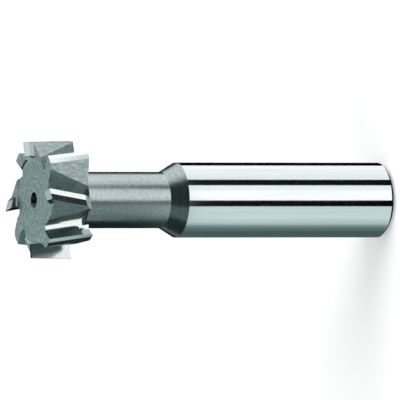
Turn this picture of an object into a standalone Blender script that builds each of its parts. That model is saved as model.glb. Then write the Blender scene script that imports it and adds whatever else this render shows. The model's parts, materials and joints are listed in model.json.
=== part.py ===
"""A T-slot milling cutter, turned and milled from one piece of high-speed steel.

It stands on the end of its plain shank, with the cutting head on top. The head has eight teeth on alternate
slants: every other tooth cuts on the front face and stands proud there, and those between do so at the rear.
Units are metres, +Z runs up the tool's axis, and the origin is the centre of the shank's end face.
"""

import math

import bmesh
import bpy
from mathutils import Vector

MM = 0.001

# Lengths along the axis
OVERALL_LENGTH = 82 * MM
HEAD_WIDTH = 11 * MM
SHANK_LENGTH = 48 * MM
SHANK_CHAMFER = 1.0 * MM
FRONT_RECESS = 1.5 * MM
REAR_RECESS = 1.5 * MM
HUB_FILLET = 1.5 * MM

# Diameters
HEAD_DIAMETER = 25 * MM
SHANK_DIAMETER = 16 * MM
NECK_DIAMETER = 12 * MM
HUB_DIAMETER = 18.2 * MM
NECK_CONE_ANGLE = math.radians(30)

# Centre holes that the tool is ground between
CENTRE_MOUTH_DIAMETER = 3.4 * MM
CENTRE_PILOT_DIAMETER = 1.6 * MM
CENTRE_PILOT_DEPTH = 3.6 * MM
CENTRE_CONE_ANGLE = math.radians(30)

# Teeth
TOOTH_COUNT = 8
FIRST_TOOTH_AZIMUTH = math.radians(7)
SLANT_ANGLE = math.radians(10)
RAKE_ANGLE = math.radians(8)
RAKE_FACE_HEIGHT = 3.3 * MM
ROOT_FACET_ANGLE = math.radians(51)
PRIMARY_LAND_WIDTH = 1.0 * MM
PRIMARY_RELIEF = math.radians(4)
SECONDARY_LAND_WIDTH = 1.2 * MM
SECONDARY_RELIEF = math.radians(10)
BACK_ANGLE = math.radians(46)
ROOT_DIAMETER = 14.8 * MM
FLOOR_SLOPE = math.radians(33)
FLOOR_TILT = math.radians(1)

# The side of the tooth, ground back from the cutting edge on the face where the tooth stands proud
SIDE_STEP = 1.25 * MM
FRONT_SIDE_LAND_WIDTH = 2.2 * MM
FRONT_SIDE_RELIEF = math.radians(15)
FRONT_SIDE_BACK_ANGLE = math.radians(40)
REAR_SIDE_RELIEF = math.radians(9)

# The gash at the rear end of each rake face whose tooth cuts there, and the corner ground off one tooth's rear end
GASH_LENGTH = 2.4 * MM
GASH_ANGLE = math.radians(15)
CHAMFERED_TOOTH = 6
CHAMFER_LENGTH = 2.9 * MM
CHAMFER_ANGLE = math.radians(30)
CHAMFER_REACH = 5 * MM

# How finely the turned surfaces are divided, and how much wider than the teeth the blank is left
TURNED_STEPS = 72
SHARP_CORNER = math.radians(12)
FILLET_POINTS = 5
GRINDING_ALLOWANCE = 0.15 * MM
CUTTER_REACH = 30 * MM
RUN_OUT = 0.8 * MM
CLEAR_OF_RAKE = 0.8 * MM

HEAD_RADIUS = HEAD_DIAMETER / 2
HEAD_MIDDLE = OVERALL_LENGTH - HEAD_WIDTH / 2
SLANT_OFFSET = HEAD_WIDTH / 2 * math.tan(SLANT_ANGLE)
EDGE_RADIUS = math.sqrt(HEAD_RADIUS**2 - SLANT_OFFSET**2)
RAKE_SETBACK = RAKE_FACE_HEIGHT * math.tan(RAKE_ANGLE)


def empty_scene():
    for obj in list(bpy.data.objects):
        bpy.data.objects.remove(obj, do_unlink=True)


def new_collection(name):
    collection = bpy.data.collections.new(name)
    bpy.context.scene.collection.children.link(collection)
    return collection


def steel_material():
    material = bpy.data.materials.new("ground_tool_steel")
    material.use_nodes = True
    shader = material.node_tree.nodes["Principled BSDF"]
    shader.inputs["Base Color"].default_value = (0.58, 0.61, 0.61, 1)
    shader.inputs["Metallic"].default_value = 1.0
    shader.inputs["Roughness"].default_value = 0.28
    return material


def centre_hole(face_height, inward):
    """The (radius, height) points of a centre hole, from the axis out to its mouth in a face at this height."""
    mouth = CENTRE_MOUTH_DIAMETER / 2
    pilot = CENTRE_PILOT_DIAMETER / 2
    cone_depth = (mouth - pilot) / math.tan(CENTRE_CONE_ANGLE)
    tip_depth = CENTRE_PILOT_DEPTH + pilot * math.tan(CENTRE_CONE_ANGLE)
    return [
        (0, face_height + inward * tip_depth),
        (pilot, face_height + inward * CENTRE_PILOT_DEPTH),
        (pilot, face_height + inward * cone_depth),
        (mouth, face_height),
    ]


def fillet_points(centre_radius, centre_height, radius, start, end):
    """Points of a round corner in the profile, from angle start to angle end, in radians."""
    points = []
    for step in range(FILLET_POINTS):
        angle = start + (end - start) * step / (FILLET_POINTS - 1)
        points.append((centre_radius + radius * math.cos(angle), centre_height + radius * math.sin(angle)))
    return points


def turned_profile():
    """The blank's outline as (radius, height), from the head's front face on top down to the shank's end."""
    front = OVERALL_LENGTH
    rear = OVERALL_LENGTH - HEAD_WIDTH
    blank = HEAD_RADIUS + GRINDING_ALLOWANCE
    hub = HUB_DIAMETER / 2
    neck = NECK_DIAMETER / 2
    shank = SHANK_DIAMETER / 2
    hub_rear = rear + REAR_RECESS
    cone_height = (shank - neck) / math.tan(NECK_CONE_ANGLE)

    profile = centre_hole(front - FRONT_RECESS, -1)
    profile += [(hub, front - FRONT_RECESS), (hub, front), (blank, front), (blank, rear), (hub, rear), (hub, hub_rear)]
    profile += fillet_points(neck + HUB_FILLET, hub_rear - HUB_FILLET, HUB_FILLET, math.pi / 2, math.pi)
    profile += [(neck, SHANK_LENGTH + cone_height), (shank, SHANK_LENGTH)]
    profile += [(shank, SHANK_CHAMFER), (shank - SHANK_CHAMFER, 0)]
    profile += reversed(centre_hole(0, 1))
    return profile


def turn_blank(collection):
    """Turns the profile about the axis with a Screw modifier."""
    mesh = bpy.data.meshes.new("cutter_body")
    points = turned_profile()
    edges = [(i, i + 1) for i in range(len(points) - 1)]
    mesh.from_pydata([(radius, 0, height) for radius, height in points], edges, [])
    body = bpy.data.objects.new("cutter_body", mesh)
    collection.objects.link(body)
    turning = body.modifiers.new("turning", "SCREW")
    turning.steps = TURNED_STEPS
    turning.render_steps = TURNED_STEPS
    turning.use_merge_vertices = True
    turning.merge_threshold = 0.00001
    return body


def shade_turned_faces(body):
    """Takes the finished shape as the object's mesh, smooth where it was turned and sharp at its corners."""
    graph = bpy.context.evaluated_depsgraph_get()
    finished = bpy.data.meshes.new_from_object(body.evaluated_get(graph))
    body.modifiers.clear()
    body.data = finished
    finished.name = body.name
    finished.shade_smooth()
    finished.set_sharp_from_angle(angle=SHARP_CORNER)


class Tooth:
    """One tooth's own axes: out is radial, lead points the way it turns, and along follows its slanted edge."""

    def __init__(self, number):
        azimuth = FIRST_TOOTH_AZIMUTH + number * math.tau / TOOTH_COUNT
        self.cuts_front = 1 if number % 2 == 0 else -1
        self.number = number
        self.out = Vector((math.cos(azimuth), math.sin(azimuth), 0))
        self.level_lead = Vector((-math.sin(azimuth), math.cos(azimuth), 0))
        up = Vector((0, 0, 1))
        slant = self.cuts_front * SLANT_ANGLE
        self.lead = self.level_lead * math.cos(slant) - up * math.sin(slant)
        self.along = up * math.cos(slant) + self.level_lead * math.sin(slant)

    def point(self, lead, out):
        return Vector((0, 0, HEAD_MIDDLE)) + self.lead * lead + self.out * out

    def direction(self, lead, out, along=0.0):
        return self.lead * lead + self.out * out + self.along * along

    def root_facet(self):
        """The sloping foot of the rake face, between it and the gullet's floor."""
        foot = self.point(-RAKE_SETBACK, EDGE_RADIUS - RAKE_FACE_HEIGHT)
        return foot, self.direction(-math.sin(ROOT_FACET_ANGLE), -math.cos(ROOT_FACET_ANGLE))

    def outer_rake(self):
        return self.point(0, EDGE_RADIUS), self.direction(-math.cos(RAKE_ANGLE), math.sin(RAKE_ANGLE))

    def floor(self):
        """The gullet's floor in front of the rake face, deeper at the end where the tooth cuts."""
        tilt = self.cuts_front * math.tan(FLOOR_TILT)
        root = self.point(-RAKE_SETBACK, ROOT_DIAMETER / 2)
        return root, self.direction(math.tan(FLOOR_SLOPE), -1, -tilt)

    def land(self, from_width, relief, drop):
        point = self.point(-from_width, EDGE_RADIUS - drop)
        return point, self.direction(math.sin(relief), -math.cos(relief))

    def back(self):
        width = PRIMARY_LAND_WIDTH + SECONDARY_LAND_WIDTH
        return self.point(-width, EDGE_RADIUS - land_drop()), self.direction(
            math.sin(BACK_ANGLE), -math.cos(BACK_ANGLE)
        )

    def clear_of_rake(self):
        return self.point(CLEAR_OF_RAKE, EDGE_RADIUS), self.direction(-1, 0)

    def side_facet(self, angle, from_width=0.0, drop=0.0):
        """A facet on the proud side, falling away behind the cutting edge from this far behind and below it."""
        facing = Vector((0, 0, self.cuts_front))
        corner = self.point(0, EDGE_RADIUS) + self.along * (self.cuts_front * HEAD_WIDTH / 2 / math.cos(SLANT_ANGLE))
        start = corner - self.level_lead * from_width - facing * drop
        return start, self.level_lead * math.sin(angle) - facing * math.cos(angle)

    def gash(self):
        """The planes of a gash that lets the rear end of the rake face fall away, down to its sloping foot."""
        start = self.point(0, EDGE_RADIUS) - self.along * (HEAD_WIDTH / 2 - GASH_LENGTH)
        face = self.direction(-math.cos(RAKE_ANGLE), math.sin(RAKE_ANGLE), math.tan(GASH_ANGLE))
        return [(start, face), self.root_facet(), self.floor()]

    def rear_chamfer(self):
        """The planes round what is ground off the outer corner of the tooth's rear end."""
        start = Vector((0, 0, OVERALL_LENGTH - HEAD_WIDTH + CHAMFER_LENGTH)) + self.out * HEAD_RADIUS
        slope = Vector((0, 0, math.sin(CHAMFER_ANGLE))) - self.out * math.cos(CHAMFER_ANGLE)
        ahead = self.point(CHAMFER_REACH, 0), self.direction(1, 0)
        behind = self.point(-CHAMFER_REACH, 0), self.direction(-1, 0)
        return [(start, slope), ahead, behind]


def primary_drop():
    return PRIMARY_LAND_WIDTH * math.tan(PRIMARY_RELIEF)


def land_drop():
    """How far the land has fallen below the edge where it ends."""
    return primary_drop() + SECONDARY_LAND_WIDTH * math.tan(SECONDARY_RELIEF)


def block_between(name, low, high, planes, collection):
    """A block with everything on the far side of each plane cut away, to be taken from the blank."""
    shape = bmesh.new()
    bmesh.ops.create_cube(shape, size=1)
    size = high - low
    bmesh.ops.scale(shape, vec=size, verts=shape.verts)
    bmesh.ops.translate(shape, vec=(low + high) / 2, verts=shape.verts)
    for point, outward in planes:
        every = shape.verts[:] + shape.edges[:] + shape.faces[:]
        cut = bmesh.ops.bisect_plane(
            shape, geom=every, dist=1e-7, plane_co=point, plane_no=outward.normalized(), clear_outer=True
        )
        rim = [item for item in cut["geom_cut"] if isinstance(item, bmesh.types.BMEdge)]
        bmesh.ops.contextual_create(shape, geom=rim)
    bmesh.ops.recalc_face_normals(shape, faces=shape.faces)
    mesh = bpy.data.meshes.new(name)
    shape.to_mesh(mesh)
    shape.free()
    cutter = bpy.data.objects.new(name, mesh)
    cutter.hide_render = True
    cutter.display_type = "WIRE"
    collection.objects.link(cutter)


def around_head(bottom, top):
    """The low and high corners of a block that holds the head between two heights."""
    return Vector((-CUTTER_REACH, -CUTTER_REACH, bottom)), Vector((CUTTER_REACH, CUTTER_REACH, top))


def along_teeth():
    """The corners of a block for a pass that runs the head's whole width and just past both faces."""
    return around_head(OVERALL_LENGTH - HEAD_WIDTH - RUN_OUT, OVERALL_LENGTH + RUN_OUT)


def away_from(tooth):
    """A plane through the axis that keeps a cutter on its own tooth's side of the head."""
    return Vector((0, 0, HEAD_MIDDLE)), -tooth.out


def make_gullets(teeth, collection):
    """The spaces between the teeth, each milled in two passes: one for the rake face, one for the next back."""
    low, high = along_teeth()
    for tooth in teeth:
        ahead = teeth[(tooth.number + 1) % TOOTH_COUNT]
        rakes = [away_from(tooth), tooth.root_facet(), tooth.outer_rake()]
        block_between(f"rake_pass_{tooth.number}", low, high, rakes + [tooth.floor()], collection)
        if tooth.cuts_front == -1:
            block_between(f"gash_{tooth.number}", low, high, [away_from(tooth)] + tooth.gash(), collection)
        back_planes = [away_from(tooth), tooth.clear_of_rake(), ahead.back()]
        block_between(f"back_pass_{tooth.number}", low, high, back_planes, collection)


def make_lands(teeth, collection):
    """The two ground facets behind each cutting edge."""
    low, high = along_teeth()
    for tooth in teeth:
        primary = tooth.land(0, PRIMARY_RELIEF, 0)
        secondary = tooth.land(PRIMARY_LAND_WIDTH, SECONDARY_RELIEF, primary_drop())
        block_between(f"primary_land_{tooth.number}", low, high, [primary], collection)
        block_between(f"secondary_land_{tooth.number}", low, high, [secondary], collection)


def make_side_facets(teeth, collection):
    """The facets that leave every other tooth proud at the front, and those between them at the rear."""
    front = OVERALL_LENGTH
    rear = OVERALL_LENGTH - HEAD_WIDTH
    drop = FRONT_SIDE_LAND_WIDTH * math.tan(FRONT_SIDE_RELIEF)
    for tooth in teeth:
        clear = tooth.clear_of_rake()
        proud = teeth[(tooth.number + 2) % TOOTH_COUNT]
        if tooth.cuts_front == 1:
            low, high = around_head(front - SIDE_STEP, front + RUN_OUT)
            land = proud.side_facet(FRONT_SIDE_RELIEF)
            back = proud.side_facet(FRONT_SIDE_BACK_ANGLE, FRONT_SIDE_LAND_WIDTH, drop)
            block_between(f"side_back_{tooth.number}", low, high, [clear, back], collection)
        else:
            low, high = around_head(rear - RUN_OUT, rear + SIDE_STEP)
            land = proud.side_facet(REAR_SIDE_RELIEF)
        block_between(f"side_land_{tooth.number}", low, high, [clear, land], collection)


def make_chamfer(teeth, collection):
    rear = OVERALL_LENGTH - HEAD_WIDTH
    low, high = around_head(rear - RUN_OUT, rear + CHAMFER_LENGTH + RUN_OUT)
    block_between("rear_chamfer", low, high, teeth[CHAMFERED_TOOTH].rear_chamfer(), collection)


def build():
    empty_scene()
    parts = new_collection("t_slot_cutter")
    cutters = new_collection("cutters")
    body = turn_blank(parts)
    body.data.materials.append(steel_material())
    teeth = [Tooth(number) for number in range(TOOTH_COUNT)]
    make_gullets(teeth, cutters)
    make_lands(teeth, cutters)
    make_side_facets(teeth, cutters)
    make_chamfer(teeth, cutters)
    milling = body.modifiers.new("milling", "BOOLEAN")
    milling.operation = "DIFFERENCE"
    milling.solver = "EXACT"
    milling.operand_type = "COLLECTION"
    milling.collection = cutters
    shade_turned_faces(body)


build()
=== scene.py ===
"""A T-slot milling cutter: a turned blank with milled gullets, and a ground shank and teeth."""

import json
import math

import bpy
from mathutils import Matrix, Vector

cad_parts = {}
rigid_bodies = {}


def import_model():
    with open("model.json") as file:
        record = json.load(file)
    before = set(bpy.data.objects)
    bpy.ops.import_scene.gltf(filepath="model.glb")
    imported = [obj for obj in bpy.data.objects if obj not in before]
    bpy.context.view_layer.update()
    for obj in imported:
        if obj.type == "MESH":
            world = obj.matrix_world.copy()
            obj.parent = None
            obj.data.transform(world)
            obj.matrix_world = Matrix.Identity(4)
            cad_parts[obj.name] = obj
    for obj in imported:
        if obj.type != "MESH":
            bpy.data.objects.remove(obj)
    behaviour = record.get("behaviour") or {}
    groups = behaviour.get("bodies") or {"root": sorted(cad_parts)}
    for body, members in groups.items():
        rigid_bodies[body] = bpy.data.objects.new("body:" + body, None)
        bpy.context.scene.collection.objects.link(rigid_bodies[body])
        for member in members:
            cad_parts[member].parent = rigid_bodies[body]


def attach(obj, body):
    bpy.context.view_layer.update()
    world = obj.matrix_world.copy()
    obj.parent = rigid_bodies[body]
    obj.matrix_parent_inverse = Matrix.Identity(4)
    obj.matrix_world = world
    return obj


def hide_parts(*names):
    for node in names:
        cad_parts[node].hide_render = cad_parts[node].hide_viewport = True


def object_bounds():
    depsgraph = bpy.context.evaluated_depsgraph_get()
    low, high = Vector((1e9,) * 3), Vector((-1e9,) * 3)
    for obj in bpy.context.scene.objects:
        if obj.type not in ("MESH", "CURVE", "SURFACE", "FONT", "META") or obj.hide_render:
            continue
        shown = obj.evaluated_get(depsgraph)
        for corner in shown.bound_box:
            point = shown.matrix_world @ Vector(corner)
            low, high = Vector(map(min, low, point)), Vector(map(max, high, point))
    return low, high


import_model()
cad_low, cad_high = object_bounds()

MM = 0.001

# The cutter stands on its shank's end face, with its axis on Z
OVERALL_LENGTH = cad_high.z - cad_low.z
HEAD_WIDTH = 11 * MM
SHANK_LENGTH = 48 * MM
HEAD_RADIUS = 12.5 * MM
SHANK_RADIUS = 8 * MM
NECK_RADIUS = 6 * MM
HUB_RADIUS = 9.1 * MM
SHANK_CHAMFER = 1.0 * MM
FRONT_RECESS = 1.5 * MM
REAR_RECESS = 1.5 * MM
RECESS_LIP = 0.3 * MM
HUB_FILLET = 1.5 * MM
NECK_CONE_ANGLE = math.radians(30)
GRINDING_ALLOWANCE = 0.15 * MM
TURNED_STEPS = 180
FILLET_STEPS = 6

# The centre holes at both ends: the radii of the mouth, the pilot and its blunt tip, then depth and cone
CENTRE_MOUTH = 1.7 * MM
CENTRE_PILOT = 0.8 * MM
CENTRE_TIP = 0.04 * MM
CENTRE_PILOT_DEPTH = 3.6 * MM
CENTRE_CONE_ANGLE = math.radians(30)

# The teeth, on alternate slants
TOOTH_COUNT = 8
FIRST_TOOTH_AZIMUTH = math.radians(7)
SLANT_ANGLE = math.radians(10)
RAKE_ANGLE = math.radians(8)
RAKE_FACE_HEIGHT = 3.3 * MM
ROOT_FACET_ANGLE = math.radians(51)
PRIMARY_LAND_WIDTH = 1.0 * MM
PRIMARY_RELIEF = math.radians(4)
SECONDARY_LAND_WIDTH = 1.2 * MM
SECONDARY_RELIEF = math.radians(10)
BACK_ANGLE = math.radians(46)
ROOT_RADIUS = 7.4 * MM
FLOOR_SLOPE = math.radians(33)
FLOOR_TILT = math.radians(1)
WHEEL_CORNER = 0.3 * MM
WHEEL_CORNER_STEPS = 3

# The side of the tooth, ground back from the cutting edge on the face where the tooth stands proud
SIDE_STEP = 1.25 * MM
FRONT_SIDE_LAND_WIDTH = 2.2 * MM
FRONT_SIDE_RELIEF = math.radians(15)
FRONT_SIDE_BACK_ANGLE = math.radians(40)
REAR_SIDE_RELIEF = math.radians(9)

# The gash at the rear end of each rake face whose tooth cuts there
GASH_LENGTH = 2.4 * MM
GASH_ANGLE = math.radians(15)

# One tooth has the outer corner of its rear end ground off
CHAMFERED_TOOTH = 6
CHAMFER_LENGTH = 2.9 * MM
CHAMFER_ANGLE = math.radians(30)
CHAMFER_REACH = 5 * MM

# One tooth's rake face takes a light colour: a painted highlight
HIGHLIT_RAKE_TOOTH = 4

# How far a pass reaches from the axis and past the head's ends, and how far ahead of its tooth it stays
PASS_REACH = 30 * MM
RUN_OUT = 0.8 * MM
CLEAR_OF_RAKE = 0.8 * MM

# Lengths that follow from the ones above
HEAD_MIDDLE = OVERALL_LENGTH - HEAD_WIDTH / 2
SLANT_OFFSET = HEAD_WIDTH / 2 * math.tan(SLANT_ANGLE)
HALF_EDGE_LENGTH = HEAD_WIDTH / 2 / math.cos(SLANT_ANGLE)
EDGE_RADIUS = math.sqrt(HEAD_RADIUS**2 - SLANT_OFFSET**2)
RAKE_SETBACK = RAKE_FACE_HEIGHT * math.tan(RAKE_ANGLE)
PRIMARY_DROP = PRIMARY_LAND_WIDTH * math.tan(PRIMARY_RELIEF)
LAND_DROP = PRIMARY_DROP + SECONDARY_LAND_WIDTH * math.tan(SECONDARY_RELIEF)
SIDE_DROP = FRONT_SIDE_LAND_WIDTH * math.tan(FRONT_SIDE_RELIEF)

# Lengths this near count as one, a cut snaps to points this near, and normals this alike count as one
SAME_LENGTH = 1e-6
CUT_SNAP = 1e-7
SAME_FACING = 0.999

# The photograph's view: from the side of the head's front face, with the axis level across the picture
VIEW_ELEVATION = math.radians(23.23)
VIEW_DISTANCE = 3.0
VIEW_WIDTH = 85.17 * MM
AIM_HEIGHT = 42.2 * MM
AIM_SIDE = 0.015 * MM
SENSOR_WIDTH = 36
SIGHT_LIMIT = 20


def deselect_all():
    bpy.ops.object.select_all(action="DESELECT")


def edit_all():
    bpy.ops.object.mode_set(mode="EDIT")
    bpy.ops.mesh.select_all(action="SELECT")


def object_mode():
    bpy.ops.object.mode_set(mode="OBJECT")


def cut_away(point, outward, fill):
    """Bisects the mesh in edit mode at a plane, and clears what lies on its outward side."""
    bpy.ops.mesh.select_all(action="SELECT")
    bpy.ops.mesh.bisect(
        plane_co=point, plane_no=outward, use_fill=fill, clear_outer=True, threshold=CUT_SNAP
    )


# Materials

# Nearly all of a noise texture's values lie between these two
NOISE_LOW = 0.3
NOISE_HIGH = 0.7
NOISE_DETAIL = 4.0


def new_metal(name, tones, roughness):
    """A bare metal whose colour lies midway between its darker and its lighter tone."""
    material = bpy.data.materials.new(name)
    material.use_nodes = True
    tree = material.node_tree
    shader = tree.nodes["Principled BSDF"]
    middle = [(dark + light) / 2 for dark, light in zip(*tones)]
    shader.inputs["Base Color"].default_value = (*middle, 1)
    shader.inputs["Metallic"].default_value = 1.0
    shader.inputs["Roughness"].default_value = roughness
    return material, tree, shader


def object_place(tree):
    return tree.nodes.new("ShaderNodeTexCoord").outputs["Object"]


def noise_at(tree, place, scale):
    noise = tree.nodes.new("ShaderNodeTexNoise")
    noise.inputs["Scale"].default_value = scale
    noise.inputs["Detail"].default_value = NOISE_DETAIL
    tree.links.new(place, noise.inputs["Vector"])
    return noise.outputs["Fac"]


def stretched_noise(tree, stretch, scale):
    """Noise drawn out along an axis: stretch is how many times finer it is along X, Y and Z."""
    mapping = tree.nodes.new("ShaderNodeMapping")
    mapping.inputs["Scale"].default_value = stretch
    tree.links.new(object_place(tree), mapping.inputs["Vector"])
    return noise_at(tree, mapping.outputs["Vector"], scale)


def round_axis_noise(tree, scale):
    """Noise in rings round the cutter's axis, as a facing tool leaves them."""
    split = tree.nodes.new("ShaderNodeSeparateXYZ")
    tree.links.new(object_place(tree), split.inputs["Vector"])
    flat = tree.nodes.new("ShaderNodeCombineXYZ")
    tree.links.new(split.outputs["X"], flat.inputs["X"])
    tree.links.new(split.outputs["Y"], flat.inputs["Y"])
    radius = tree.nodes.new("ShaderNodeVectorMath")
    radius.operation = "LENGTH"
    tree.links.new(flat.outputs["Vector"], radius.inputs[0])
    along = tree.nodes.new("ShaderNodeCombineXYZ")
    tree.links.new(radius.outputs["Value"], along.inputs["X"])
    return noise_at(tree, along.outputs["Vector"], scale)


def mixed(tree, first, second, share):
    """A blend of two values, with this share of the second."""
    mix = tree.nodes.new("ShaderNodeMix")
    mix.inputs["Factor"].default_value = share
    tree.links.new(first, mix.inputs["A"])
    tree.links.new(second, mix.inputs["B"])
    return mix.outputs["Result"]


def add_tone(tree, shader, value, tones):
    """Lets the colour drift between a darker and a lighter tone."""
    ramp = tree.nodes.new("ShaderNodeValToRGB")
    for element, position, tone in zip(ramp.color_ramp.elements, (NOISE_LOW, NOISE_HIGH), tones):
        element.position = position
        element.color = (*tone, 1)
    tree.links.new(value, ramp.inputs["Fac"])
    tree.links.new(ramp.outputs["Color"], shader.inputs["Base Color"])


def add_roughness(tree, shader, value, low, high):
    """Lets the roughness drift between low and high."""
    span = tree.nodes.new("ShaderNodeMapRange")
    span.inputs["From Min"].default_value = NOISE_LOW
    span.inputs["From Max"].default_value = NOISE_HIGH
    span.inputs["To Min"].default_value = low
    span.inputs["To Max"].default_value = high
    tree.links.new(value, span.inputs["Value"])
    tree.links.new(span.outputs["Result"], shader.inputs["Roughness"])


def add_bump(tree, shader, height, depth):
    bump = tree.nodes.new("ShaderNodeBump")
    bump.inputs["Strength"].default_value = 1.0
    bump.inputs["Distance"].default_value = depth
    tree.links.new(height, bump.inputs["Height"])
    tree.links.new(bump.outputs["Normal"], shader.inputs["Normal"])


def ground_shank_steel():
    tones = (0.75, 0.78, 0.78), (0.85, 0.88, 0.88)
    material, tree, shader = new_metal("ground_shank", tones, 0.08)
    rings = stretched_noise(tree, (0, 0, 1), 3500)
    streaks = stretched_noise(tree, (1, 1, 0.03), 1600)
    add_tone(tree, shader, mixed(tree, rings, streaks, 0.7), tones)
    add_roughness(tree, shader, rings, 0.07, 0.11)
    return material


def turned_neck_steel():
    tones = (0.49, 0.53, 0.53), (0.63, 0.67, 0.67)
    material, tree, shader = new_metal("turned_neck", tones, 0.24)
    rings = stretched_noise(tree, (0, 0, 1), 1800)
    grain = stretched_noise(tree, (1, 1, 0.7), 2400)
    add_tone(tree, shader, mixed(tree, rings, grain, 0.75), tones)
    add_roughness(tree, shader, rings, 0.20, 0.28)
    return material


def turned_face_steel():
    tones = (0.14, 0.17, 0.165), (0.68, 0.79, 0.78)
    material, tree, shader = new_metal("turned_face", tones, 0.42)
    rings = round_axis_noise(tree, 2200)
    grain = stretched_noise(tree, (1, 1, 1), 1700)
    both = mixed(tree, rings, grain, 0.6)
    add_tone(tree, shader, both, tones)
    add_bump(tree, shader, both, 0.03 * MM)
    return material


def milled_gullet_steel():
    tones = (0.20, 0.25, 0.25), (0.48, 0.55, 0.55)
    material, tree, shader = new_metal("milled_gullet", tones, 0.33)
    feed_marks = stretched_noise(tree, (1, 1, 0.25), 1900)
    grain = stretched_noise(tree, (1, 1, 1), 1500)
    both = mixed(tree, feed_marks, grain, 0.5)
    add_tone(tree, shader, both, tones)
    add_bump(tree, shader, both, 0.03 * MM)
    return material


def rake_steel_with_painted_light(name, dark, light):
    """The rake faces carry lines from a coarse grinding wheel; their dark tone is painted shade, and the
    light tone of one of them is a painted highlight.
    """
    material, tree, shader = new_metal(name, (dark, light), 0.2)
    lines = stretched_noise(tree, (0.3, 0.3, 3), 1500)
    add_tone(tree, shader, lines, (dark, light))
    return material


def ground_land_steel():
    tones = (0.78, 0.82, 0.82), (0.90, 0.92, 0.92)
    material, tree, shader = new_metal("ground_land", tones, 0.12)
    grain = stretched_noise(tree, (1, 1, 8), 900)
    add_tone(tree, shader, grain, tones)
    return material


# The recess lip is coloured lighter than the face round it: a painted highlight along the rim's edge
def lip_steel_painted_highlight():
    tones = (0.36, 0.42, 0.41), (0.64, 0.70, 0.69)
    material, tree, shader = new_metal("highlit_recess_lip", tones, 0.3)
    grain = stretched_noise(tree, (1, 1, 1), 1500)
    add_tone(tree, shader, grain, tones)
    return material


# The centre holes are coloured near black: painted shade inside the holes
def hole_steel_painted_shade():
    tones = (0.06, 0.07, 0.07), (0.14, 0.15, 0.15)
    material, tree, shader = new_metal("centre_hole", tones, 0.3)
    grain = stretched_noise(tree, (1, 1, 1), 2000)
    add_tone(tree, shader, grain, tones)
    return material


FINISHES = {
    "shank": ground_shank_steel(),
    "neck": turned_neck_steel(),
    "face": turned_face_steel(),
    "gullet": milled_gullet_steel(),
    # The rake faces' dark tone is painted shade; the one light rake face is a painted highlight
    "rake": rake_steel_with_painted_light("shaded_rake", (0.22, 0.26, 0.26), (0.36, 0.41, 0.41)),
    "highlit_rake": rake_steel_with_painted_light("highlit_rake", (0.66, 0.70, 0.70), (0.78, 0.81, 0.81)),
    "land": ground_land_steel(),
    "lip": lip_steel_painted_highlight(),
    "hole": hole_steel_painted_shade(),
}


# The turned blank


def arc(centre_radius, centre_height, radius, start, end):
    """Rings of a round corner from angle start to angle end, in degrees."""
    rings = []
    for step in range(FILLET_STEPS + 1):
        angle = math.radians(start + (end - start) * step / FILLET_STEPS)
        rings.append((centre_radius + radius * math.cos(angle), centre_height + radius * math.sin(angle)))
    return rings


def centre_hole(face_height, inward):
    """The (radius, height) rings of a centre hole, from its bottom out to its mouth."""
    cone_depth = (CENTRE_MOUTH - CENTRE_PILOT) / math.tan(CENTRE_CONE_ANGLE)
    tip_depth = CENTRE_PILOT_DEPTH + CENTRE_PILOT * math.tan(CENTRE_CONE_ANGLE)
    return [
        (CENTRE_TIP, face_height + inward * tip_depth),
        (CENTRE_PILOT, face_height + inward * CENTRE_PILOT_DEPTH),
        (CENTRE_PILOT, face_height + inward * cone_depth),
        (CENTRE_MOUTH, face_height),
    ]


def blank_rings():
    """The blank's rings as (radius, height, finish), from the shank's centre hole up to the front's."""
    front = OVERALL_LENGTH
    rear = front - HEAD_WIDTH
    blank = HEAD_RADIUS + GRINDING_ALLOWANCE
    cone_top = SHANK_LENGTH + (SHANK_RADIUS - NECK_RADIUS) / math.tan(NECK_CONE_ANGLE)
    hub_rear = rear + REAR_RECESS
    fillet_start = hub_rear - HUB_FILLET
    fillet = arc(NECK_RADIUS + HUB_FILLET, fillet_start, HUB_FILLET, 180, 90)[1:]
    disc = front - FRONT_RECESS
    lip = HUB_RADIUS + RECESS_LIP
    front_mouth, *front_hole = reversed(centre_hole(disc, -1))

    rings = [(r, h, "hole") for r, h in centre_hole(0, 1)]
    rings += [(SHANK_RADIUS - SHANK_CHAMFER, 0, "shank"), (SHANK_RADIUS, SHANK_CHAMFER, "shank")]
    rings += [(SHANK_RADIUS, SHANK_LENGTH, "shank")]
    rings += [(NECK_RADIUS, cone_top, "neck"), (NECK_RADIUS, fillet_start, "neck")]
    rings += [(r, h, "neck") for r, h in fillet]
    rings += [(HUB_RADIUS, hub_rear, "neck"), (HUB_RADIUS, rear, "gullet"), (blank, rear, "gullet")]
    rings += [(blank, front, "gullet"), (lip, front, "gullet")]
    rings += [(lip, disc + RECESS_LIP, "lip"), (HUB_RADIUS, disc, "lip")]
    rings += [(*front_mouth, "face")]
    rings += [(r, h, "hole") for r, h in front_hole]
    return rings


def turn_blank():
    """Draws the blank out of a disc, ring after ring, and gives each band its finish."""
    rings = blank_rings()
    radius, height, _ = rings[0]
    bpy.ops.mesh.primitive_circle_add(
        vertices=TURNED_STEPS, radius=radius, fill_type="NGON", location=(0, 0, height)
    )
    body = bpy.context.object
    body.name = "t_slot_cutter"
    bpy.ops.object.transform_apply(location=True)
    for finish in FINISHES.values():
        body.data.materials.append(finish)
    edit_all()
    for next_radius, next_height, _ in rings[1:]:
        bpy.ops.mesh.extrude_region_move(TRANSFORM_OT_translate={"value": (0, 0, next_height - height)})
        factor = next_radius / radius
        bpy.ops.transform.resize(value=(factor, factor, 1), center_override=(0, 0, next_height))
        radius, height = next_radius, next_height
    bpy.ops.mesh.select_all(action="SELECT")
    bpy.ops.mesh.normals_make_consistent(inside=False)
    object_mode()
    give_bands_their_finish(body, rings)
    return body


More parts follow.
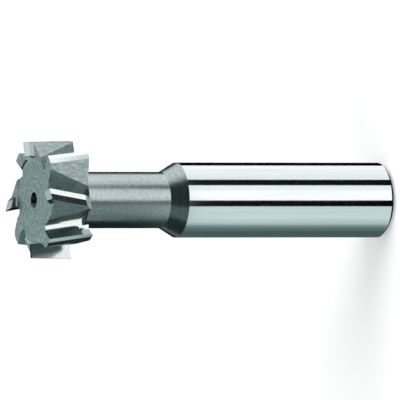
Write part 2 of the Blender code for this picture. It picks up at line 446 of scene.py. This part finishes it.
def give_bands_their_finish(body, rings):
    """Each face of the blank takes the finish of the band between two rings that it lies in."""
    names = list(FINISHES)
    for face in body.data.polygons:
        points = [body.data.vertices[i].co for i in face.vertices]
        radii = [math.hypot(p.x, p.y) for p in points]
        heights = [p.z for p in points]
        for (r0, h0, _), (r1, h1, finish) in zip(rings, rings[1:]):
            misses = [
                min(radii) - min(r0, r1),
                max(radii) - max(r0, r1),
                min(heights) - min(h0, h1),
                max(heights) - max(h0, h1),
            ]
            if all(abs(miss) < SAME_LENGTH for miss in misses):
                face.material_index = names.index(finish)
                break


# The teeth


class Tooth:
    """One tooth's axes: out is radial, lead points the way it turns, and along follows its slanted edge.

    Each plane is a point on it and the direction that faces out of the block that a pass takes away.
    """

    def __init__(self, number):
        azimuth = FIRST_TOOTH_AZIMUTH + number * math.tau / TOOTH_COUNT
        self.cuts_front = 1 if number % 2 == 0 else -1
        self.out = Vector((math.cos(azimuth), math.sin(azimuth), 0))
        self.level_lead = Vector((-math.sin(azimuth), math.cos(azimuth), 0))
        up = Vector((0, 0, 1))
        slant = self.cuts_front * SLANT_ANGLE
        self.lead = self.level_lead * math.cos(slant) - up * math.sin(slant)
        self.along = up * math.cos(slant) + self.level_lead * math.sin(slant)

    def point(self, lead, out):
        return Vector((0, 0, HEAD_MIDDLE)) + self.lead * lead + self.out * out

    def direction(self, lead, out, along=0.0):
        return self.lead * lead + self.out * out + self.along * along

    def root_facet(self):
        """The sloping foot of the rake face, between it and the gullet's floor."""
        foot = self.point(-RAKE_SETBACK, EDGE_RADIUS - RAKE_FACE_HEIGHT)
        return foot, self.direction(-math.sin(ROOT_FACET_ANGLE), -math.cos(ROOT_FACET_ANGLE))

    def outer_rake(self):
        return self.point(0, EDGE_RADIUS), self.direction(-math.cos(RAKE_ANGLE), math.sin(RAKE_ANGLE))

    def floor(self):
        """The gullet's floor in front of the rake face, deeper at the end where the tooth cuts."""
        tilt = self.cuts_front * math.tan(FLOOR_TILT)
        root = self.point(-RAKE_SETBACK, ROOT_RADIUS)
        return root, self.direction(math.tan(FLOOR_SLOPE), -1, -tilt)

    def primary_land(self):
        facing = self.direction(math.sin(PRIMARY_RELIEF), -math.cos(PRIMARY_RELIEF))
        return self.point(0, EDGE_RADIUS), facing

    def secondary_land(self):
        start = self.point(-PRIMARY_LAND_WIDTH, EDGE_RADIUS - PRIMARY_DROP)
        return start, self.direction(math.sin(SECONDARY_RELIEF), -math.cos(SECONDARY_RELIEF))

    def back(self):
        start = self.point(-PRIMARY_LAND_WIDTH - SECONDARY_LAND_WIDTH, EDGE_RADIUS - LAND_DROP)
        return start, self.direction(math.sin(BACK_ANGLE), -math.cos(BACK_ANGLE))

    def clear_of_rake(self):
        """A plane ahead of the tooth, which keeps a pass off its rake face."""
        return self.point(CLEAR_OF_RAKE, EDGE_RADIUS), self.direction(-1, 0)

    def side_facet(self, angle, from_width=0.0, drop=0.0):
        """A facet of the proud side that falls away behind the edge, from this far behind and below it."""
        facing = Vector((0, 0, self.cuts_front))
        corner = self.point(0, EDGE_RADIUS) + self.along * (self.cuts_front * HALF_EDGE_LENGTH)
        start = corner - self.level_lead * from_width - facing * drop
        return start, self.level_lead * math.sin(angle) - facing * math.cos(angle)

    def gash(self):
        """The plane at which the rear end of the rake face falls away."""
        start = self.point(0, EDGE_RADIUS) - self.along * (HEAD_WIDTH / 2 - GASH_LENGTH)
        return start, self.direction(-math.cos(RAKE_ANGLE), math.sin(RAKE_ANGLE), math.tan(GASH_ANGLE))

    def rear_chamfer(self):
        """The planes round what is ground off the outer corner of the tooth's rear end."""
        start = Vector((0, 0, OVERALL_LENGTH - HEAD_WIDTH + CHAMFER_LENGTH)) + self.out * HEAD_RADIUS
        slope = Vector((0, 0, math.sin(CHAMFER_ANGLE))) - self.out * math.cos(CHAMFER_ANGLE)
        ahead = self.point(CHAMFER_REACH, 0), self.direction(1, 0)
        behind = self.point(-CHAMFER_REACH, 0), self.direction(-1, 0)
        return [(start, slope), ahead, behind]

    def own_side(self):
        """A plane through the axis that keeps a pass on this tooth's side of the head."""
        return Vector((0, 0, HEAD_MIDDLE)), -self.out


def tool_pass(name, ends, planes, finish, passes, special=(), corner=0.0):
    """What one pass of a milling cutter or a grinding wheel takes away: a block, bisected by each plane.

    Its faces leave one finish on the steel, except those in a plane that has a special finish of its own.
    """
    bottom, top = ends
    bpy.ops.mesh.primitive_cube_add(
        size=1, location=(0, 0, (bottom + top) / 2), scale=(2 * PASS_REACH, 2 * PASS_REACH, top - bottom)
    )
    block = bpy.context.object
    block.name = name
    bpy.ops.object.transform_apply(location=True, scale=True)
    bpy.ops.object.mode_set(mode="EDIT")
    for point, outward in planes:
        cut_away(point, outward, fill=True)
    bpy.ops.mesh.select_all(action="SELECT")
    bpy.ops.mesh.normals_make_consistent(inside=False)
    if corner:
        bpy.ops.mesh.bevel(offset=corner, segments=WHEEL_CORNER_STEPS, affect="EDGES")
    object_mode()
    block.data.materials.append(FINISHES[finish])
    for (_, outward), own_finish in special:
        block.data.materials.append(FINISHES[own_finish])
        for face in block.data.polygons:
            if face.normal.dot(outward.normalized()) > SAME_FACING:
                face.material_index = len(block.data.materials) - 1
    for home in list(block.users_collection):
        home.objects.unlink(block)
    passes.objects.link(block)


def add_passes(passes):
    """All the milling and grinding passes round the head."""
    teeth = [Tooth(number) for number in range(TOOTH_COUNT)]
    front = OVERALL_LENGTH
    rear = OVERALL_LENGTH - HEAD_WIDTH
    ends = (rear - RUN_OUT, front + RUN_OUT)
    for n, tooth in enumerate(teeth):
        ahead = teeth[(n + 1) % TOOTH_COUNT]
        proud = teeth[(n + 2) % TOOTH_COUNT]
        clear = tooth.clear_of_rake()
        foot = tooth.root_facet()
        face = tooth.outer_rake()
        rakes = [tooth.own_side(), foot, face, tooth.floor()]
        # One rake face takes the painted highlight, the others the painted shade
        ground = [(foot, "land"), (face, "highlit_rake" if n == HIGHLIT_RAKE_TOOTH else "rake")]
        tool_pass(f"rake_pass_{n}", ends, rakes, "gullet", passes, ground, WHEEL_CORNER)
        back = [tooth.own_side(), clear, ahead.back()]
        tool_pass(f"back_pass_{n}", ends, back, "gullet", passes)
        tool_pass(f"primary_land_{n}", ends, [tooth.primary_land()], "land", passes)
        tool_pass(f"secondary_land_{n}", ends, [tooth.secondary_land()], "land", passes)
        if tooth.cuts_front == 1:
            side_ends = (front - SIDE_STEP, front + RUN_OUT)
            side_land = proud.side_facet(FRONT_SIDE_RELIEF)
            side_back = proud.side_facet(FRONT_SIDE_BACK_ANGLE, FRONT_SIDE_LAND_WIDTH, SIDE_DROP)
            planes = [clear, side_back]
            tool_pass(f"side_back_{n}", side_ends, planes, "face", passes, [(side_back, "land")])
        else:
            side_ends = (rear - RUN_OUT, rear + SIDE_STEP)
            side_land = proud.side_facet(REAR_SIDE_RELIEF)
            gash = tooth.gash()
            planes = [tooth.own_side(), gash, foot, tooth.floor()]
            tool_pass(f"gash_{n}", ends, planes, "gullet", passes, [(gash, "land"), (foot, "land")])
        planes = [clear, side_land]
        tool_pass(f"side_land_{n}", side_ends, planes, "face", passes, [(side_land, "land")])
    chamfer_ends = (rear - RUN_OUT, rear + CHAMFER_LENGTH + RUN_OUT)
    tool_pass("rear_chamfer", chamfer_ends, teeth[CHAMFERED_TOOTH].rear_chamfer(), "gullet", passes)


def mill_teeth(body):
    """Takes every pass from the blank at once, and leaves each cut face with its own finish."""
    passes = bpy.data.collections.new("passes")
    bpy.context.scene.collection.children.link(passes)
    add_passes(passes)
    milling = body.modifiers.new("milling", "BOOLEAN")
    milling.operation = "DIFFERENCE"
    milling.solver = "EXACT"
    milling.operand_type = "COLLECTION"
    milling.material_mode = "TRANSFER"
    milling.collection = passes
    bpy.context.view_layer.objects.active = body
    bpy.ops.object.modifier_apply(modifier=milling.name)
    for block in list(passes.objects):
        bpy.data.objects.remove(block, do_unlink=True)
    bpy.data.collections.remove(passes)


FLAT_FINISHES = ("milled_gullet", "shaded_rake", "highlit_rake", "ground_land")
SMOOTH_UP_TO = math.radians(12)


def finish_shading(body):
    """Turned faces are smooth round the axis, and milled and ground faces stay flat."""
    deselect_all()
    body.select_set(True)
    bpy.context.view_layer.objects.active = body
    bpy.ops.object.shade_smooth_by_angle(angle=SMOOTH_UP_TO)
    flat = {i for i, material in enumerate(body.data.materials) if material.name in FLAT_FINISHES}
    for face in body.data.polygons:
        if face.material_index in flat:
            face.use_smooth = False


def make_cutter():
    deselect_all()
    body = turn_blank()
    mill_teeth(body)
    finish_shading(body)
    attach(body, "root")
    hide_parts("cutter_body")


# The studio

FLOOR_SIZE = 8
FLOOR_COLOUR = (0.94, 0.9, 0.9)
FLOOR_GLOW = 0.25


def make_floor():
    bpy.ops.mesh.primitive_plane_add(size=FLOOR_SIZE, location=(0, 0, 0))
    floor = bpy.context.object
    floor.name = "floor"
    material = bpy.data.materials.new("white_floor")
    material.use_nodes = True
    tree = material.node_tree
    shader = tree.nodes["Principled BSDF"]
    shader.inputs["Base Color"].default_value = (*FLOOR_COLOUR, 1)
    shader.inputs["Roughness"].default_value = 1.0
    shader.inputs["Specular IOR Level"].default_value = 0.0
    shader.inputs["Emission Color"].default_value = (1, 1, 1, 1)
    tree.links.new(seen_directly(tree, FLOOR_GLOW), shader.inputs["Emission Strength"])
    floor.data.materials.append(material)


def seen_directly(tree, strength):
    """A strength that only the camera, reflections and glass see."""
    path = tree.nodes.new("ShaderNodeLightPath")
    either = tree.nodes.new("ShaderNodeMath")
    either.operation = "MAXIMUM"
    all_three = tree.nodes.new("ShaderNodeMath")
    all_three.operation = "MAXIMUM"
    scaled = tree.nodes.new("ShaderNodeMath")
    scaled.operation = "MULTIPLY"
    scaled.inputs[1].default_value = strength
    tree.links.new(path.outputs["Is Camera Ray"], either.inputs[0])
    tree.links.new(path.outputs["Is Glossy Ray"], either.inputs[1])
    tree.links.new(either.outputs[0], all_three.inputs[0])
    tree.links.new(path.outputs["Is Transmission Ray"], all_three.inputs[1])
    tree.links.new(all_three.outputs[0], scaled.inputs[0])
    return scaled.outputs[0]


# Cards laid round the cutter, for the bright steel to mirror: start and end angle from the camera's side
# towards +X, in degrees, then how bright the card is where the shank, the neck and the head mirror it
FLOOR_CARDS = [
    (-1, 30, 1.20, 0.84, 1.1),
    (30, 46, 1.05, 0.80, 1.1),
    (46, 66, 0.005, 0.16, 0.6),
    (66, 88, 1.02, 0.66, 1.1),
    (88, 110, 1.08, 0.90, 1.2),
    (110, 133, 1.14, 0.90, 0.85),
    (133, 185, 0.003, 0.003, 0.003),
    (185, 203, 0.10, 0.03, 0.01),
    (203, 248, 0.12, 0.015, 0.01),
    (248, 258, 0.165, 0.012, 0.01),
    (258, 268, 0.21, 0.015, 0.01),
    (268, 277, 0.33, 0.02, 0.54),
    (277, 283, 0.54, 0.03, 0.50),
    (283, 290, 0.65, 0.05, 0.34),
    (290, 300, 0.72, 0.085, 0.34),
    (300, 316, 0.79, 0.145, 0.34),
    (316, 340.5, 0.78, 0.20, 0.34),
    (340.5, 359, 0.003, 0.33, 0.003),
]
CARD_RINGS = [(0, 123 * MM), (123 * MM, 170 * MM), (170 * MM, 3.0)]
CARD_HEIGHT = 0.1 * MM
CARD_STEPS = 180

# A dark ring under the shank's rim, seen by reflections alone: a painted contact shadow
FOOT_CARD_WIDTH = 0.8 * SHANK_CHAMFER
FOOT_CARD_LEVEL = 0.01

# Upright cards, which the cone and the faces that look up mirror: the angle of the card's middle from the
# camera's side towards +X, its width, how low and how high it stands, in degrees, and how bright it is
WALL_CARDS = [
    (22, 95, 10, 60, 0.025),
    (-48, 46, 10, 60, 0.16),
    (-115, 88, 3, 60, 0.028),
    (118, 65, 0, 45, 0.9),
    (180, 50, 10, 32, 0.52),
    (180, 50, 32, 58, 0.72),
]
WALL_DISTANCE = 2.5

# The share of red in the studio's grey where it is darkest, and how fast it rises to the full share
DARKEST_RED = 0.6
RED_RISE = 0.33


def card_colour(level):
    """The studio's grey, which turns green-blue as it darkens."""
    return level * min(1.0, DARKEST_RED + RED_RISE * level), level, level


def card_edge(angle):
    """The line on the floor that the shank mirrors straight along itself, as a point and a direction."""
    turn = angle if angle <= 180 else angle - 360
    touch = math.radians(turn / 2)
    away = math.radians(turn)
    point = Vector((SHANK_RADIUS * math.sin(touch), -SHANK_RADIUS * math.cos(touch), CARD_HEIGHT))
    return point, Vector((math.sin(away), -math.cos(away), 0))


def glowing(name, colour):
    material = bpy.data.materials.new(name)
    material.use_nodes = True
    tree = material.node_tree
    tree.nodes.clear()
    glow = tree.nodes.new("ShaderNodeEmission")
    glow.inputs["Color"].default_value = (*colour, 1)
    output = tree.nodes.new("ShaderNodeOutputMaterial")
    tree.links.new(glow.outputs["Emission"], output.inputs["Surface"])
    return material


def light_card(card, level):
    """Lets the card glow at this level, seen by reflections alone."""
    card.data.materials.append(glowing(card.name, card_colour(level)))
    card.visible_camera = False
    card.visible_diffuse = False
    card.visible_shadow = False
    card.visible_transmission = False
    card.visible_volume_scatter = False


def start_round_card(name, inner, outer):
    """A flat ring just above the floor, or a disc if it has no inner radius, still in edit mode."""
    bpy.ops.mesh.primitive_circle_add(
        vertices=CARD_STEPS, radius=outer, fill_type="NGON", location=(0, 0, CARD_HEIGHT)
    )
    card = bpy.context.object
    card.name = name
    bpy.ops.object.transform_apply(location=True)
    edit_all()
    if inner:
        bpy.ops.mesh.inset(thickness=outer - inner)
        bpy.ops.mesh.delete(type="FACE")
    return card


def make_floor_cards():
    for start, end, *levels in FLOOR_CARDS:
        for (inner, outer), level in zip(CARD_RINGS, levels):
            make_floor_card(f"floor_card_{start}_{outer:.2f}", start, end, inner, outer, level)


def make_floor_card(name, start, end, inner, outer, level):
    """A flat card between two circles and two straight edges."""
    card = start_round_card(name, inner, outer)
    (first, first_along), (last, last_along) = card_edge(start), card_edge(end)
    chord = last - first
    towards_axis = Vector((-chord.y, chord.x, 0))
    if towards_axis.dot(first_along + last_along) > 0:
        towards_axis.negate()
    cut_away(first, Vector((first_along.y, -first_along.x, 0)), fill=False)
    cut_away(last, Vector((-last_along.y, last_along.x, 0)), fill=False)
    cut_away(first, towards_axis, fill=False)
    object_mode()
    light_card(card, level)


def make_foot_shadow_card():
    """A painted contact shadow under the shank's rim, as a dark ring which its chamfer mirrors."""
    card = start_round_card("foot_shadow_card", SHANK_RADIUS - FOOT_CARD_WIDTH, SHANK_RADIUS)
    object_mode()
    light_card(card, FOOT_CARD_LEVEL)


def make_wall_cards():
    for number, (middle, width, low, high, level) in enumerate(WALL_CARDS):
        away = math.radians(middle)
        outward = Vector((math.sin(away), -math.cos(away), 0))
        bottom = WALL_DISTANCE * math.tan(math.radians(low))
        top = WALL_DISTANCE * math.tan(math.radians(high))
        span = 2 * WALL_DISTANCE * math.tan(math.radians(width / 2))
        centre = outward * WALL_DISTANCE + Vector((0, 0, (bottom + top) / 2))
        bpy.ops.mesh.primitive_plane_add(size=1, location=centre)
        card = bpy.context.object
        card.name = f"wall_card_{number}"
        card.scale = (span, top - bottom, 1)
        card.rotation_euler = (math.pi / 2, 0, away)
        light_card(card, level)


WORLD_COLOUR = (0.92, 1, 1)
WORLD_STRENGTH = 0.55


def make_world():
    world = bpy.data.worlds.new("studio")
    bpy.context.scene.world = world
    world.use_nodes = True
    background = world.node_tree.nodes["Background"]
    background.inputs["Color"].default_value = (*WORLD_COLOUR, 1)
    background.inputs["Strength"].default_value = WORLD_STRENGTH


# Each lamp's name, place and power in watts
LAMPS = [
    ("key_lamp", (0.5, -0.2, 0.9), 4),
    ("fill_lamp", (-0.6, -0.4, 0.7), 1.5),
]
LAMP_SIZE = 0.6
LAMP_AIM = Vector((0, 0, 40 * MM))


def make_lamps():
    """Round lamps that throw the shadow on the floor, and that the bright steel doesn't mirror."""
    for name, place, power in LAMPS:
        bpy.ops.object.light_add(type="AREA", location=place)
        lamp = bpy.context.object
        lamp.name = name
        lamp.data.shape = "DISK"
        lamp.data.size = LAMP_SIZE
        lamp.data.energy = power
        lamp.visible_glossy = False
        lamp.rotation_euler = (LAMP_AIM - Vector(place)).to_track_quat("-Z", "Y").to_euler()


def make_camera():
    """Looks down the photograph's line, rolled so that the cutter's axis lies across the picture."""
    data = bpy.data.cameras.new("photo_view")
    camera = bpy.data.objects.new("photo_view", data)
    bpy.context.scene.collection.objects.link(camera)
    data.sensor_width = SENSOR_WIDTH
    data.lens = SENSOR_WIDTH * VIEW_DISTANCE / VIEW_WIDTH
    data.clip_end = SIGHT_LIMIT
    back = Vector((0, -math.cos(VIEW_ELEVATION), math.sin(VIEW_ELEVATION)))
    picture_right = Vector((0, -math.sin(VIEW_ELEVATION), -math.cos(VIEW_ELEVATION)))
    picture_up = Vector((1, 0, 0))
    turn = Matrix((picture_right, picture_up, back)).transposed()
    aim = Vector((AIM_SIDE, 0, AIM_HEIGHT))
    camera.matrix_world = Matrix.Translation(aim + back * VIEW_DISTANCE) @ turn.to_4x4()
    bpy.context.scene.camera = camera


make_cutter()
make_floor()
make_floor_cards()
make_foot_shadow_card()
make_wall_cards()
make_world()
make_lamps()
make_camera()
bpy.context.scene.view_settings.view_transform = "Standard"
